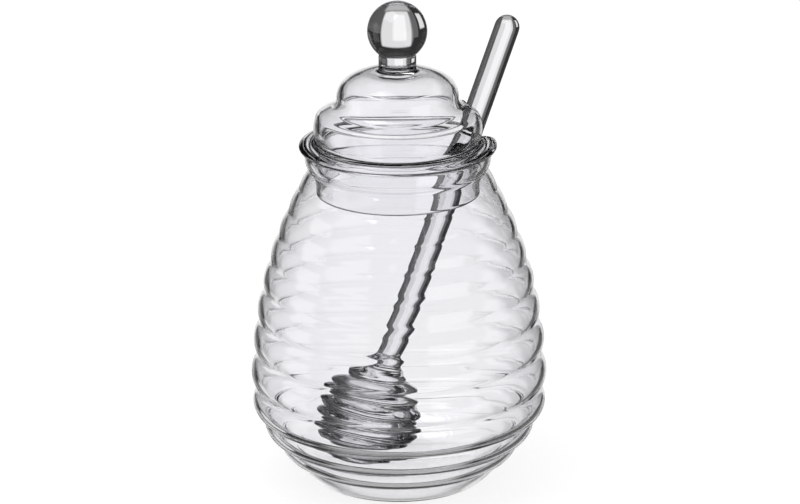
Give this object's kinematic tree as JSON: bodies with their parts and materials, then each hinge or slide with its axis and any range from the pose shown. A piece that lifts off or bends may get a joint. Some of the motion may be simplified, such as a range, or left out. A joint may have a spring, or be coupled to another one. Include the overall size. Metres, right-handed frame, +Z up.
{
  "type": "honey_pot",
  "caption": "Clear glass beehive honey pot with a ball-knobbed lid and a spiral glass dipper leaning out through the lid's notch",
  "frame": {"origin": "Middle of the jar's foot, on the surface it stands on", "axes": "+Z up the jar's axis; the lid's notch and the dipper's rod point between +X and +Y, at about 20 degrees from +X; -Y faces the front"},
  "size_m": [0.102, 0.102, 0.1696],
  "materials": {
    "jar_glass": "gloss",
    "lid_glass": "gloss",
    "dipper_glass": "gloss"
  },
  "bodies": {
    "root": {"jar": "jar_glass", "lid": "lid_glass", "dipper": "dipper_glass"}
  },
  "joints": []
}
